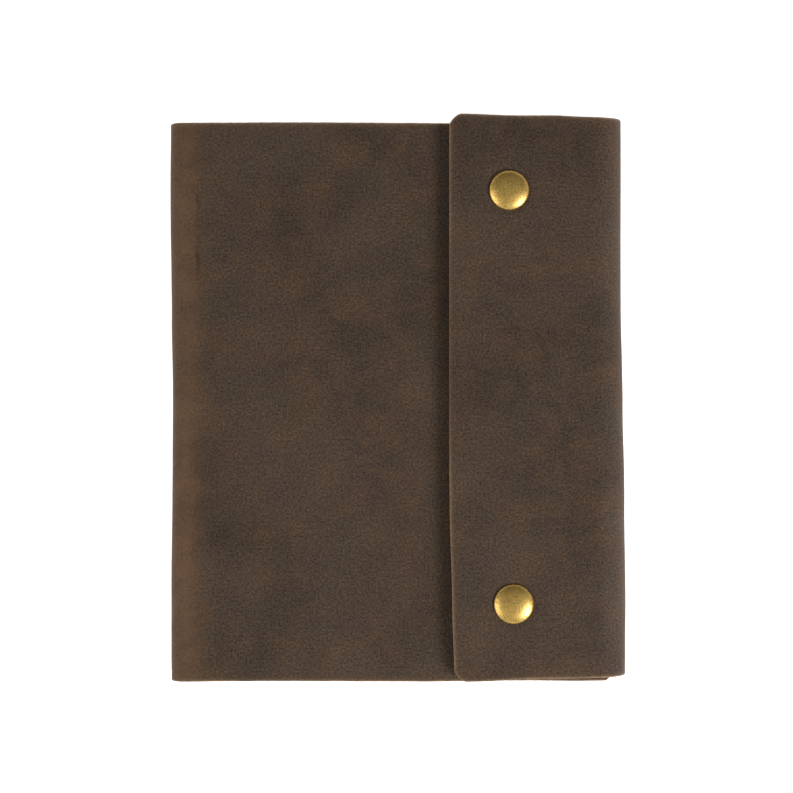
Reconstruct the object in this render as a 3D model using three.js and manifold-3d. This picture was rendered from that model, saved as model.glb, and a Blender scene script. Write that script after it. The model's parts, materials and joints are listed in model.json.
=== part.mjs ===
// A leather binder cover for A5 leaves: one wrap-round strip of leather, two press studs,
// a six-ring mechanism riveted inside the back cover, and two blocks of punched leaves.
// Millimetres. +X runs from the spine to the fore edge, +Y up the page, +Z up off the table.
import * as THREE from 'three';
import { mergeVertices } from 'three/addons/utils/BufferGeometryUtils.js';
import Module from 'manifold-3d';

const wasm = await Module();
wasm.setup();

// Leather strip
const leatherThickness = 2.2;
const halfWidth = 88;              // closed cover, from the middle to the spine or the fore edge
const foldRadius = 4.4;            // middle of the leather, at the two spine folds
const wrapRadius = 10.9;           // middle of the leather, at the fore edge
const backMiddle = leatherThickness / 2;
const frontMiddle = 21.9;          // height of the front cover's middle surface
const flapMiddle = 27.1;           // height of the flap's middle surface
const frontEdge = 81.9;            // free edge of the front cover
const foldGap = 1.4;               // between rigid panels at a spine fold
const wrapGap = 0.9;               // between rigid strips at the fore edge
const frontTop = 106.5;
const frontBottom = -109.4;
const backTop = 108.15;
const backBottom = -107.95;
const cornerRadius = 4.5;
const flapEdge = { top: [19.7, 109.4], bottom: [22.8, -109.0] };

// Press studs
const snapPlaces = { upper: [42.7, 79.9], lower: [44.45, -78.7] };
const capRadius = 7.5;
const capRise = 2.3;
const fit = 0.3;                   // clearance between neighbouring pieces

// Ring mechanism, in the XZ plane about the centre of the rings
const ringX = -74;
const ringZ = 11.3;
const ringRadius = 6.5;            // middle of the wire
const wireRadius = 1.1;
const ringPlaces = [73, 54, 35, -35, -54, -73];
const mechanismY = -0.8;
const plateHalfWidth = 7;
const plateRise = 3.3;
const plateSteel = 0.7;
const plateLength = 180;
const bladeLength = 172;
const bladeThickness = 0.6;
const bladeOuter = 5.6;
const bladeInner = 0.2;
const bladeZ = 3.05;
const rivetPlaces = { top: 63.5, bottom: -63.5 };
const rivetRadius = 1.7;
const leverWidth = 7;

// Leaves
const leafSize = [148, 210];
const blockThickness = 3.6;
const punchRadius = 3;
const punchOffset = 6.65;          // from the ring centre to the middle of the punched holes
const punchToEdge = 6;
const leafTilt = THREE.MathUtils.degToRad(2.05);

const leatherDark = new THREE.MeshStandardMaterial({ color: 0x4f4339, roughness: 0.75, metalness: 0 });
const leatherWarm = new THREE.MeshStandardMaterial({ color: 0x5a4a3e, roughness: 0.75, metalness: 0 });
const antiqueBrass = new THREE.MeshStandardMaterial({ color: 0x8d7747, roughness: 0.35, metalness: 1 });
const nickel = new THREE.MeshStandardMaterial({ color: 0xc9c9c6, roughness: 0.2, metalness: 1 });
const paper = new THREE.MeshStandardMaterial({ color: 0xefe8d8, roughness: 0.9, metalness: 0 });

const cover = new THREE.Group();

function addMesh(name, geometry, material, position = [0, 0, 0]) {
  const mesh = new THREE.Mesh(geometry, material.clone());
  mesh.name = name;
  mesh.position.set(...position);
  cover.add(mesh);
  return mesh;
}

// Booleans
function solidOf(geometry) {
  const bare = geometry.clone();
  bare.deleteAttribute('normal');
  bare.deleteAttribute('uv');
  const merged = mergeVertices(bare, 1e-5);
  return new wasm.Manifold(new wasm.Mesh({
    numProp: 3,
    vertProperties: merged.attributes.position.array,
    triVerts: merged.index.array,
  }));
}

function geometryOf(solid) {
  const mesh = solid.getMesh();
  const geometry = new THREE.BufferGeometry();
  geometry.setAttribute('position', new THREE.BufferAttribute(mesh.vertProperties, 3));
  geometry.setIndex(new THREE.BufferAttribute(mesh.triVerts, 1));
  return geometry;
}

// Shapes drawn in XZ and pulled along Y, in YZ and pulled along X, or in XY and pulled along Z
function alongY(shape, from, to) {
  const geometry = new THREE.ExtrudeGeometry(shape, { depth: to - from, bevelEnabled: false });
  return geometry.rotateX(Math.PI / 2).translate(0, to, 0);
}

function alongX(shape, from, to) {
  const geometry = new THREE.ExtrudeGeometry(shape, { depth: to - from, bevelEnabled: false });
  return geometry.rotateX(Math.PI / 2).rotateZ(Math.PI / 2).translate(from, 0, 0);
}

function alongZ(shape, from, to) {
  const settings = { depth: to - from, bevelEnabled: false, curveSegments: 5 };
  return new THREE.ExtrudeGeometry(shape, settings).translate(0, 0, from);
}

function upright(radius, from, to, [x, y], sides = 16) {
  const geometry = new THREE.CylinderGeometry(radius, radius, to - from, sides);
  return geometry.rotateX(Math.PI / 2).translate(x, y, (from + to) / 2);
}

function turned(profile, sides) {
  const points = profile.map(([r, z]) => new THREE.Vector2(r, z));
  return new THREE.LatheGeometry(points, sides).rotateX(Math.PI / 2);
}

// Straight-sided outline with its corners rounded where a corner gives a third number
function outline(corners) {
  const shape = new THREE.Shape();
  corners.forEach(([x, y, radius = 0], i) => {
    const corner = new THREE.Vector2(x, y);
    const before = new THREE.Vector2(...corners.at(i - 1).slice(0, 2)).sub(corner).setLength(radius);
    const after = new THREE.Vector2(...corners[(i + 1) % corners.length].slice(0, 2)).sub(corner);
    const start = before.add(corner);
    const end = after.setLength(radius).add(corner);
    if (i === 0) shape.moveTo(start.x, start.y);
    else shape.lineTo(start.x, start.y);
    if (radius > 0) shape.quadraticCurveTo(x, y, end.x, end.y);
  });
  shape.closePath();
  return shape;
}

// The middle line of the leather strip in the XZ plane, from the front cover's free edge round
// the spine, the back cover and the fore edge to the flap. Each run is a length and a left turn.
const quarter = Math.PI / 2;
const foldCentreX = -halfWidth + backMiddle + foldRadius;
const wrapCentreX = halfWidth - backMiddle - wrapRadius;
const runs = {
  front: { length: frontEdge - foldCentreX, turn: 0 },
  frontFold: { length: foldRadius * quarter, turn: quarter },
  spine: { length: frontMiddle - backMiddle - 2 * foldRadius, turn: 0 },
  backFold: { length: foldRadius * quarter, turn: quarter },
  back: { length: wrapCentreX - foldCentreX, turn: 0 },
  lowerWrap: { length: wrapRadius * quarter, turn: quarter },
  foreEdge: { length: flapMiddle - backMiddle - 2 * wrapRadius, turn: 0 },
  upperWrap: { length: wrapRadius * quarter, turn: quarter },
  flap: { length: wrapCentreX - flapEdge.top[0] + 5, turn: 0 },
};
let runStart = 0;
for (const run of Object.values(runs)) {
  run.start = runStart;
  runStart += run.length;
}

// Place and outward direction of the middle line at a distance s along it
function stationAt(s) {
  let x = frontEdge;
  let z = frontMiddle;
  let heading = Math.PI;
  for (const run of Object.values(runs)) {
    const travel = THREE.MathUtils.clamp(s - run.start, 0, run.length);
    const turn = run.turn * travel / run.length;
    const chord = turn > 0 ? travel * Math.sin(turn / 2) / (turn / 2) : travel;
    x += chord * Math.cos(heading + turn / 2);
    z += chord * Math.sin(heading + turn / 2);
    heading += turn;
  }
  return { x, z, outX: Math.sin(heading), outZ: -Math.cos(heading) };
}

// One rigid stretch of the strip, between two distances along it, pulled along Y
function leatherStretch(from, to) {
  const stops = new Set([from, to]);
  for (const run of Object.values(runs)) {
    const steps = run.turn > 0 ? 10 : 1;
    for (let i = 0; i <= steps; i += 1) {
      const s = run.start + run.length * i / steps;
      if (s > from + 0.2 && s < to - 0.2) stops.add(s);
    }
  }
  const stations = [...stops].sort((a, b) => a - b).map(stationAt);
  const half = leatherThickness / 2;
  const outer = stations.map((p) => new THREE.Vector2(p.x + half * p.outX, p.z + half * p.outZ));
  const inner = stations.map((p) => new THREE.Vector2(p.x - half * p.outX, p.z - half * p.outZ));
  return solidOf(alongY(new THREE.Shape([...outer, ...inner.reverse()]), -120, 120));
}

function cutOut(stretch, corners, holes = []) {
  let solid = stretch.intersect(solidOf(alongZ(outline(corners), -5, 40)));
  for (const hole of holes) solid = solid.subtract(solidOf(hole));
  return geometryOf(solid);
}

// Hinge lines: one in the middle of each spine fold and eight round the fore edge
const folds = [runs.frontFold, runs.backFold].map((run) => run.start + run.length / 2);
const wraps = [runs.lowerWrap, runs.upperWrap].flatMap(
  (run) => [1, 3, 5, 7].map((eighths) => run.start + run.length * eighths / 8),
);
const foldHalf = foldGap / 2;
const wrapHalf = wrapGap / 2;
const snapList = Object.values(snapPlaces);
const rivetList = Object.values(rivetPlaces).map((y) => [ringX, mechanismY + y]);

function addLeather() {
  const stripEnds = [[60, backBottom], [95, backBottom], [95, backTop], [60, backTop]];
  addMesh('front_cover_panel', cutOut(
    leatherStretch(0, folds[0] - foldHalf),
    [[-95, frontBottom], [frontEdge, frontBottom, cornerRadius], [frontEdge, frontTop, cornerRadius],
      [-95, frontTop]],
    snapList.map((place) => upright(rivetRadius + fit, 15, 30, place)),
  ), leatherDark);
  addMesh('spine_panel', cutOut(
    leatherStretch(folds[0] + foldHalf, folds[1] - foldHalf),
    [[-95, frontBottom], [-70, frontBottom], [-70, frontTop], [-95, frontTop]],
  ), leatherDark);
  addMesh('back_cover_panel', cutOut(
    leatherStretch(folds[1] + foldHalf, wraps[0] - wrapHalf),
    [[-90, frontBottom], [95, backBottom], [95, backTop], [-90, frontTop]],
    rivetList.flatMap((place) => [
      upright(rivetRadius + fit, -1, 5, place),
      upright(4.8, -1, 1.25, place, 24),
    ]),
  ), leatherDark);
  for (let i = 0; i < wraps.length - 1; i += 1) {
    const stretch = leatherStretch(wraps[i] + wrapHalf, wraps[i + 1] - wrapHalf);
    addMesh(`fore_edge_strip_${i + 1}`, cutOut(stretch, stripEnds), leatherWarm);
  }
  addMesh('closure_flap', cutOut(
    leatherStretch(wraps.at(-1) + wrapHalf, runs.flap.start + runs.flap.length),
    [[...flapEdge.bottom, cornerRadius], [wrapCentreX, backBottom], [95, backBottom], [95, backTop],
      [wrapCentreX, backTop], [...flapEdge.top, cornerRadius]],
    snapList.map((place) => upright(rivetRadius + fit, 20, 35, place)),
  ), leatherWarm);
}

// One press stud: a domed cap and its socket on the flap, a stud and its post on the front cover
function addSnap(prefix, [x, y]) {
  const frontOuter = frontMiddle + leatherThickness / 2;
  const frontInner = frontMiddle - leatherThickness / 2;
  const flapOuter = flapMiddle + leatherThickness / 2;
  const flapInner = flapMiddle - leatherThickness / 2;
  const socketTop = flapInner - fit;
  const studBottom = frontOuter + fit;
  const rim = flapOuter + fit - 0.05;
  const dome = [];
  for (let i = 0; i <= 6; i += 1) {
    const angle = quarter * i / 6;
    dome.push([capRadius * Math.cos(angle), rim + 0.3 + (capRise - 0.3) * Math.sin(angle)]);
  }
  dome[6][0] = 0;
  addMesh(`${prefix}_snap_cap`, turned([
    [0, socketTop - 0.3],
    [rivetRadius, socketTop - 0.3],
    [rivetRadius, rim],
    [capRadius - 0.3, rim],
    ...dome,
  ], 28), antiqueBrass, [x, y, 0]);
  addMesh(`${prefix}_snap_socket`, turned([
    [3.3, studBottom + 0.95],
    [4.6, studBottom + 0.95],
    [5.4, socketTop - 0.5],
    [5.4, socketTop],
    [rivetRadius + fit, socketTop],
    [rivetRadius + fit, socketTop - 0.4],
    [3.3, socketTop - 0.4],
    [3.3, studBottom + 0.95],
  ], 20), antiqueBrass, [x, y, 0]);
  addMesh(`${prefix}_snap_stud`, turned([
    [0, studBottom + 1.5],
    [rivetRadius + fit, studBottom + 1.5],
    [rivetRadius + fit, studBottom],
    [5, studBottom],
    [5, studBottom + 0.4],
    [2.4, studBottom + 0.65],
    [2.4, studBottom + 1.1],
    [2.7, studBottom + 1.5],
    [2.2, studBottom + 1.9],
    [0, studBottom + 1.9],
  ], 20), antiqueBrass, [x, y, 0]);
  addMesh(`${prefix}_snap_post`, turned([
    [0, frontInner - fit - 0.6],
    [4.4, frontInner - fit - 0.6],
    [5, frontInner - fit - 0.3],
    [5, frontInner - fit],
    [rivetRadius, frontInner - fit],
    [rivetRadius, studBottom + 1.2],
    [0, studBottom + 1.2],
  ], 20), antiqueBrass, [x, y, 0]);
}

// Arched steel plate with a slot for each half ring and a hole for each rivet
function addBasePlate() {
  const foot = leatherThickness + fit;
  const arch = new THREE.Shape();
  arch.absellipse(ringX, foot, plateHalfWidth, plateRise, 0, Math.PI, false, 0);
  arch.lineTo(ringX - plateHalfWidth + plateSteel, foot);
  arch.absellipse(ringX, foot, plateHalfWidth - plateSteel, plateRise - plateSteel, Math.PI, 0, true, 0);
  arch.closePath();
  let plate = solidOf(alongY(arch, mechanismY - plateLength / 2, mechanismY + plateLength / 2));
  for (const y of ringPlaces) {
    for (const side of [-1, 1]) {
      const slot = new THREE.BoxGeometry(3.7, 3.2, 5);
      slot.translate(ringX + side * 3.75, mechanismY + y, foot + 3);
      plate = plate.subtract(solidOf(slot));
    }
  }
  for (const place of rivetList) plate = plate.subtract(solidOf(upright(rivetRadius + fit, 0, 10, place)));
  addMesh('ring_base_plate', geometryOf(plate), nickel);
}

// One blade and the six half rings that it carries; side is -1 toward the spine, +1 toward the pages
function addRingSide(prefix, side) {
  const width = bladeOuter - bladeInner;
  let blade = solidOf(new THREE.BoxGeometry(width, bladeLength, bladeThickness)
    .translate(ringX + side * (bladeInner + width / 2), mechanismY, bladeZ));
  for (const place of rivetList) blade = blade.subtract(solidOf(upright(rivetRadius + 0.8, 0, 10, place)));
  addMesh(`${prefix}_blade`, geometryOf(blade), nickel);

  const wire = new THREE.Shape();
  wire.absarc(0, 0, wireRadius, 0, 2 * Math.PI, false);
  const points = [];
  for (let i = 0; i <= 8; i += 1) {
    const angle = THREE.MathUtils.degToRad(91.5 + (230 - 91.5) * i / 8);
    points.push(new THREE.Vector3(-side * ringRadius * Math.cos(angle), 0, ringRadius * Math.sin(angle)));
  }
  points.push(new THREE.Vector3(side * 3.75, 0, bladeZ + 2.0 - ringZ));
  points.push(new THREE.Vector3(side * 3.75, 0, bladeZ + bladeThickness / 2 + fit - ringZ));
  const path = new THREE.CatmullRomCurve3(points);
  ringPlaces.forEach((y, i) => {
    const settings = { extrudePath: path, steps: 16, curveSegments: 4, bevelEnabled: false };
    const ring = new THREE.ExtrudeGeometry(wire, settings);
    addMesh(`${prefix}_half_ring_${i + 1}`, ring, nickel, [ringX, mechanismY + y, ringZ]);
  });
}

// Thumb lever at one end of the plate; end is +1 at the top of the page, -1 at the bottom
function addLever(name, end) {
  const side = [[87.8, 2.7], [90.2, 2.7], [98.4, 5.9], [99, 6.7], [98.2, 7.3], [90.6, 3.9], [87.8, 3.5]];
  const points = side.map(([y, z]) => new THREE.Vector2(end * y + mechanismY, z));
  if (end < 0) points.reverse();
  const lever = alongX(new THREE.Shape(points), ringX - leverWidth / 2, ringX + leverWidth / 2);
  addMesh(name, lever, nickel);
}

// One rivet through the back cover and the plate, its head sunk flush in the outside leather
function addRivet(prefix, [x, y]) {
  addMesh(`${prefix}_rivet_post`, turned([
    [0, 0.25], [4.5, 0.25], [4.5, 0.95], [rivetRadius, 0.95], [rivetRadius, 6.4], [0, 6.4],
  ], 20), nickel, [x, y, 0]);
  addMesh(`${prefix}_rivet_cap`, turned([
    [0, 6.7], [2, 6.7], [2, 6.1], [3.2, 6.1], [3.2, 6.45], [2.1, 6.95], [0, 7.1],
  ], 20), nickel, [x, y, 0]);
}

// A block of punched leaves, tilted so that its free end lies down on the back cover
function addLeaves(name, from) {
  const [width, height] = leafSize;
  const left = punchOffset - punchToEdge;
  const middle = from + blockThickness / 2;
  let block = solidOf(new THREE.BoxGeometry(width, height, blockThickness)
    .translate(left + width / 2, 0, middle));
  for (const y of ringPlaces) {
    const punch = upright(punchRadius, from - 1, from + blockThickness + 1, [punchOffset, y]);
    block = block.subtract(solidOf(punch));
  }
  const mesh = addMesh(name, geometryOf(block), paper, [ringX, mechanismY, ringZ]);
  mesh.rotation.y = leafTilt;
}

addLeather();
for (const [prefix, place] of Object.entries(snapPlaces)) addSnap(prefix, place);
addBasePlate();
addRingSide('spine_side', -1);
addRingSide('page_side', 1);
addLever('top_lever', 1);
addLever('bottom_lever', -1);
for (const [prefix, y] of Object.entries(rivetPlaces)) addRivet(prefix, [ringX, mechanismY + y]);
addLeaves('front_leaves', fit / 2);
addLeaves('rear_leaves', -fit / 2 - blockThickness);

export default cover;
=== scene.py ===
import json
import math

import bpy
import numpy as np
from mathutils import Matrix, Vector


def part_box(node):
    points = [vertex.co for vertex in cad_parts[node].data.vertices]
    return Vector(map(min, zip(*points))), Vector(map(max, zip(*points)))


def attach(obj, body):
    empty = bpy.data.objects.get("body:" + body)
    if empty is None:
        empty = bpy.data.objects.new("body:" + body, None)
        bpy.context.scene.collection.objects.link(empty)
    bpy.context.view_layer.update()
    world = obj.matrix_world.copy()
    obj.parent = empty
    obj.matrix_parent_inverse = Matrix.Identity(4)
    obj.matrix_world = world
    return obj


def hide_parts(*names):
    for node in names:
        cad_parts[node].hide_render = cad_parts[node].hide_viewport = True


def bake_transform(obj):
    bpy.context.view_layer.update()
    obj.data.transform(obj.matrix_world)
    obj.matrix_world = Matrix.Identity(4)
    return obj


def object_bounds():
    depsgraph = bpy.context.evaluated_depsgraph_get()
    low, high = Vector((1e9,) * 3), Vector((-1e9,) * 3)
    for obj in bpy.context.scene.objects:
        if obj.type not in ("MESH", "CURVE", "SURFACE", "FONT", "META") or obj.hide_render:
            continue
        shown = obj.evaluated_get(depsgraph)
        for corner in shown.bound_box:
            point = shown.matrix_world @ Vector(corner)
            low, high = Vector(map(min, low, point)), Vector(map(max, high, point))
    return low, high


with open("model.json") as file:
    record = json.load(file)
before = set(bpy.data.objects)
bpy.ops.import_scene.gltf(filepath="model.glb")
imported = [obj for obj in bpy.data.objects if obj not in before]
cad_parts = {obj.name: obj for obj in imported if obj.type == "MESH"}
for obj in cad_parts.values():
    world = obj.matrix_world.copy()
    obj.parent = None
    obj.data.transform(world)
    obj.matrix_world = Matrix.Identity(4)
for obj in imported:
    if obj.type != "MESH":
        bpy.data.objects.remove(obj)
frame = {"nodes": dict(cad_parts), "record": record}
cadLow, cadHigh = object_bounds()
mm = 0.001
quarterTurn = math.pi / 2
bodyOf = {node: body for body, nodes in frame["record"]["behaviour"]["bodies"].items() for node in nodes}
print("frame loaded")


def smoothStep(low, high, x):
    # 0 below low, 1 above high, and an even S between them
    t = np.clip((x - low) / (high - low), 0, 1)
    return t * t * (3 - 2 * t)


def softNoise(seed, x, y, cell):
    # random heights in -1..1 on a square lattice of that cell, eased between its corners
    heights = np.random.default_rng(seed).uniform(-1, 1, (128, 128))
    u, v = x / cell + 37.3, y / cell + 59.1
    column, row = np.floor(u).astype(int), np.floor(v).astype(int)
    fu, fv = smoothStep(0, 1, u - column), smoothStep(0, 1, v - row)
    here, beside = heights[column % 128, row % 128], heights[(column + 1) % 128, row % 128]
    above, across = heights[column % 128, (row + 1) % 128], heights[(column + 1) % 128, (row + 1) % 128]
    return (here * (1 - fu) + beside * fu) * (1 - fv) + (above * (1 - fu) + across * fu) * fv


def gridFaces(rows, columns, closed=False, offset=0):
    # four-sided faces of a rows x columns grid; closed joins the last column to the first
    i, j = np.meshgrid(np.arange(rows - 1), np.arange(columns if closed else columns - 1), indexing="ij")
    k = (j + 1) % columns
    corners = [i * columns + j, i * columns + k, (i + 1) * columns + k, (i + 1) * columns + j]
    return np.stack(corners, -1).reshape(-1, 4) + offset


def signedVolume(points, quads):
    # the sum of the tetrahedra from the origin to each face: positive when the faces point out
    a, b, c, d = (points[quads[:, k]] for k in range(4))
    return np.einsum("ij,ij->", a, np.cross(b, c)) + np.einsum("ij,ij->", a, np.cross(c, d))


def linked(name, data):
    # an object made of that data, put into the scene
    made = bpy.data.objects.new(name, data)
    bpy.context.collection.objects.link(made)
    return made


def buildMesh(name, points, quads, materials, faceMaterial=None, uv=None, sharpAngle=40):
    # one closed mesh from whole arrays; the faces are turned outwards by the sign of the volume
    quads = np.asarray(quads)
    if signedVolume(points - points.mean(0), quads) < 0:
        quads = quads[:, ::-1]
    pinched = quads[:, 2] == quads[:, 3]      # a fan's triangles come as quads with a doubled corner
    pinchedStart = quads[:, 0] == quads[:, 1]
    faces = [f[:3] for f in quads[pinched].tolist()] + [f[1:] for f in quads[pinchedStart].tolist()]
    whole = ~(pinched | pinchedStart)
    faces = quads[whole].tolist() + faces
    mesh = bpy.data.meshes.new(name)
    mesh.from_pydata(points.tolist(), [], faces)
    for material in materials:
        mesh.materials.append(material)
    if faceMaterial is not None:
        order = np.concatenate([faceMaterial[whole], faceMaterial[pinched], faceMaterial[pinchedStart]])
        mesh.polygons.foreach_set("material_index", order.astype(np.int32))
    mesh.polygons.foreach_set("use_smooth", np.ones(len(mesh.polygons), bool))
    if uv is not None:
        corner = np.empty(len(mesh.loops), np.int32)
        mesh.loops.foreach_get("vertex_index", corner)
        mesh.uv_layers.new(name="flat").data.foreach_set("uv", uv.astype(np.float32)[corner].ravel())
    mesh.update()
    mesh.set_sharp_from_angle(angle=math.radians(sharpAngle))
    return linked(name, mesh)


def ringsMesh(name, rings, startPole, endPole, material, sharpAngle=40):
    # rings is rows x points x 3, each row a closed ring; a pole point closes each end with a fan
    rows, columns, _ = rings.shape
    points = np.concatenate([rings.reshape(-1, 3), [startPole, endPole]])
    first, last, around = rows * columns, rows * columns + 1, np.arange(columns)
    after = (around + 1) % columns
    startFan = np.stack([after, around, np.full(columns, first), np.full(columns, first)], -1)
    endRow = (rows - 1) * columns
    endFan = np.stack([around + endRow, after + endRow, np.full(columns, last), np.full(columns, last)], -1)
    quads = np.concatenate([gridFaces(rows, columns, closed=True), startFan, endFan])
    return buildMesh(name, points, quads, [material], sharpAngle=sharpAngle)


def standFor(piece, node):
    # the piece rides with the body of the frame's node and is shown in its place
    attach(piece, bodyOf[node])
    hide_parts(node)
    return piece


def newMaterial(name):
    # gives the material, its node tree and its shader
    material = bpy.data.materials.new(name)
    material.use_nodes = True
    return material, material.node_tree, material.node_tree.nodes["Principled BSDF"]


def addNode(tree, kind, inputs, **settings):
    # each input is a fixed value, or a socket to link from
    made = tree.nodes.new(kind)
    for key, value in settings.items():
        setattr(made, key, value)
    for key, value in inputs.items():
        if isinstance(value, bpy.types.NodeSocket):
            tree.links.new(value, made.inputs[key])
        else:
            made.inputs[key].default_value = value
    return made


def noiseOf(tree, place, scale, detail=3.0, rough=0.5, distortion=0.0):
    # layered noise of scale cells to the metre, 0 to 1
    inputs = {"Vector": place, "Scale": scale, "Detail": detail, "Roughness": rough,
              "Distortion": distortion}
    return addNode(tree, "ShaderNodeTexNoise", inputs).outputs["Fac"]


def rampOf(tree, value, low, high, outLow=0.0, outHigh=1.0):
    # a straight line from outLow at low to outHigh at high, level beyond them
    inputs = {"Value": value, "From Min": low, "From Max": high, "To Min": outLow, "To Max": outHigh}
    return addNode(tree, "ShaderNodeMapRange", inputs).outputs["Result"]


def timesOf(tree, a, b):
    # a times b
    return addNode(tree, "ShaderNodeMath", {0: a, 1: b}, operation="MULTIPLY").outputs["Value"]


def mixOf(tree, amount, a, b, blend="MIX"):
    # a and b are colours: three numbers, or a socket
    made = addNode(tree, "ShaderNodeMix", {"Factor": amount}, data_type="RGBA", blend_type=blend)
    colorInputs = [socket for socket in made.inputs if socket.type == "RGBA"]
    for socket, value in zip(colorInputs, (a, b)):
        if isinstance(value, bpy.types.NodeSocket):
            tree.links.new(value, socket)
        else:
            socket.default_value = (*value, 1.0)
    return next(socket for socket in made.outputs if socket.type == "RGBA")


def toneOf(tree, color, value, low, high, dark, light):
    # darkens and lightens a colour by a grey between dark and light
    grey = mixOf(tree, rampOf(tree, value, low, high), (dark,) * 3, (light,) * 3)
    return mixOf(tree, 1.0, color, grey, "MULTIPLY")


def bumpOf(tree, height, strength, distance, before=None):
    # the surface tilted by the slope of the height, on top of an earlier tilt
    inputs = {"Height": height, "Strength": strength, "Distance": distance}
    if before is not None:
        inputs["Normal"] = before
    return addNode(tree, "ShaderNodeBump", inputs).outputs["Normal"]


def hidePlace(tree):
    # the leather's own coordinates: metres across the hide as it lay flat when it was cut
    return addNode(tree, "ShaderNodeUVMap", {}, uv_map="flat").outputs["UV"]


def objectPlace(tree):
    # metres in the piece's own space
    return addNode(tree, "ShaderNodeTexCoord", {}).outputs["Object"]


leatherFinish = {
    "dark": (0.0370, 0.0245, 0.0170),
    "grey": (0.0640, 0.0435, 0.0305),
    "warm": (0.0830, 0.0475, 0.0275),
    "olive": (0.0600, 0.0430, 0.0200),
    "rubbed": (0.190, 0.103, 0.052),
    "frayed": (0.420, 0.275, 0.150),
    "roughness": 0.62,
    "poreSize": 1.0,        # millimetres between the pebbles of the grain
    "scratchStrength": 0.22,
}


def waxedLeather():
    finish = leatherFinish
    material, tree, shader = newMaterial("waxedLeather")
    place = hidePlace(tree)
    clouds = noiseOf(tree, place, 24.0, 4.0, 0.55, 0.5)
    patches = noiseOf(tree, place, 70.0, 5.0, 0.60, 0.8)
    shifted = addNode(tree, "ShaderNodeMapping", {"Vector": place, "Location": (0.31, 0.17, 0)})
    stains = noiseOf(tree, shifted.outputs[0], 38.0, 4.0, 0.6)
    speckle = noiseOf(tree, place, 1250.0, 4.0, 0.70)
    color = mixOf(tree, rampOf(tree, clouds, 0.30, 0.70, 0.12, 1.0), finish["dark"], finish["grey"])
    color = mixOf(tree, rampOf(tree, patches, 0.42, 0.70, 0.0, 0.62), color, finish["warm"])
    color = mixOf(tree, rampOf(tree, stains, 0.54, 0.76, 0.0, 0.34), color, finish["olive"])
    color = toneOf(tree, color, speckle, 0.38, 0.68, 0.60, 1.95)
    color = toneOf(tree, color, noiseOf(tree, place, 480.0, 4.0, 0.65), 0.34, 0.68, 0.92, 1.10)

    # pull-up: the wax breaks and pales where the hide bends and where its edges are handled
    rub = addNode(tree, "ShaderNodeAttribute", {}, attribute_name="rub").outputs["Fac"]
    broken = rampOf(tree, noiseOf(tree, place, 130.0, 5.0, 0.7), 0.28, 0.70, 0.35, 1.15)
    color = mixOf(tree, timesOf(tree, rub, broken), color, finish["rubbed"])

    # painted shade: a near-black shadow line painted along a crease beside the spine, broken up along its
    # length
    creaseShade = addNode(tree, "ShaderNodeAttribute", {}, attribute_name="creaseShade").outputs["Fac"]
    brokenShade = rampOf(tree, noiseOf(tree, place, 190.0, 4.0, 0.7), 0.46, 0.60, 0.0, 0.75)
    color = mixOf(tree, timesOf(tree, creaseShade, brokenShade), color, tuple(0.35 * c for c in finish["dark"]))

    # the very edge of the grain side is frayed down to the bare tan hide
    fray = addNode(tree, "ShaderNodeAttribute", {}, attribute_name="fray").outputs["Fac"]
    tufts = rampOf(tree, noiseOf(tree, place, 900.0, 4.0, 0.7), 0.34, 0.62, 0.25, 1.0)
    color = mixOf(tree, timesOf(tree, fray, tufts), color, finish["frayed"])

    # faint pale scratches, long and thin, in two directions and only here and there
    for turn, stretch, width in ((0.35, 17.0, 0.016), (-1.05, 22.0, 0.012)):
        slanted = addNode(tree, "ShaderNodeMapping",
                          {"Vector": place, "Rotation": (0, 0, turn), "Scale": (1, stretch, 1)})
        cells = addNode(tree, "ShaderNodeTexVoronoi", {"Vector": slanted.outputs[0], "Scale": 7.0},
                        feature="DISTANCE_TO_EDGE")
        line = rampOf(tree, cells.outputs["Distance"], 0.0, width, 1.0, 0.0)
        here = rampOf(tree, noiseOf(tree, place, 31.0, 3.0), 0.52, 0.68, 0.0, finish["scratchStrength"])
        color = mixOf(tree, timesOf(tree, line, here), color, finish["rubbed"])
    tree.links.new(color, shader.inputs["Base Color"])

    rough = rampOf(tree, patches, 0.3, 0.7, finish["roughness"] - 0.08, finish["roughness"] + 0.10)
    tree.links.new(rough, shader.inputs["Roughness"])
    shader.inputs["Specular IOR Level"].default_value = 0.13

    pores = addNode(tree, "ShaderNodeTexVoronoi", {"Vector": place, "Scale": 1000.0 / finish["poreSize"]},
                    feature="DISTANCE_TO_EDGE")
    creases = noiseOf(tree, place, 210.0, 5.0, 0.65, 0.4)
    normal = bumpOf(tree, creases, 0.30, 0.0005)
    normal = bumpOf(tree, rampOf(tree, pores.outputs["Distance"], 0.0, 0.32), 0.22, 0.00014, normal)
    normal = bumpOf(tree, noiseOf(tree, place, 2600.0, 3.0, 0.6), 0.22, 0.00008, normal)
    tree.links.new(normal, shader.inputs["Normal"])
    return material


fleshFinish = {"color": (0.175, 0.098, 0.055), "nap": 900.0}


def suedeLeather():
    # the flesh side of the hide: a short nap without wax
    material, tree, shader = newMaterial("suedeLeather")
    place = hidePlace(tree)
    nap = noiseOf(tree, place, fleshFinish["nap"], 5.0, 0.7)
    base = np.array(fleshFinish["color"])
    cloud = rampOf(tree, noiseOf(tree, place, 40.0, 4.0, 0.6), 0.3, 0.7)
    color = mixOf(tree, cloud, tuple(0.75 * base), tuple(1.1 * base))
    color = toneOf(tree, color, nap, 0.3, 0.7, 0.78, 1.20)
    tree.links.new(color, shader.inputs["Base Color"])
    shader.inputs["Roughness"].default_value = 0.95
    shader.inputs["Specular IOR Level"].default_value = 0.10
    shader.inputs["Sheen Weight"].default_value = 0.08
    shader.inputs["Sheen Roughness"].default_value = 0.6
    tree.links.new(bumpOf(tree, nap, 0.6, 0.0003), shader.inputs["Normal"])
    return material


edgeFinish = {"cut": (0.290, 0.182, 0.105), "waxed": (0.130, 0.080, 0.047)}


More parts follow.
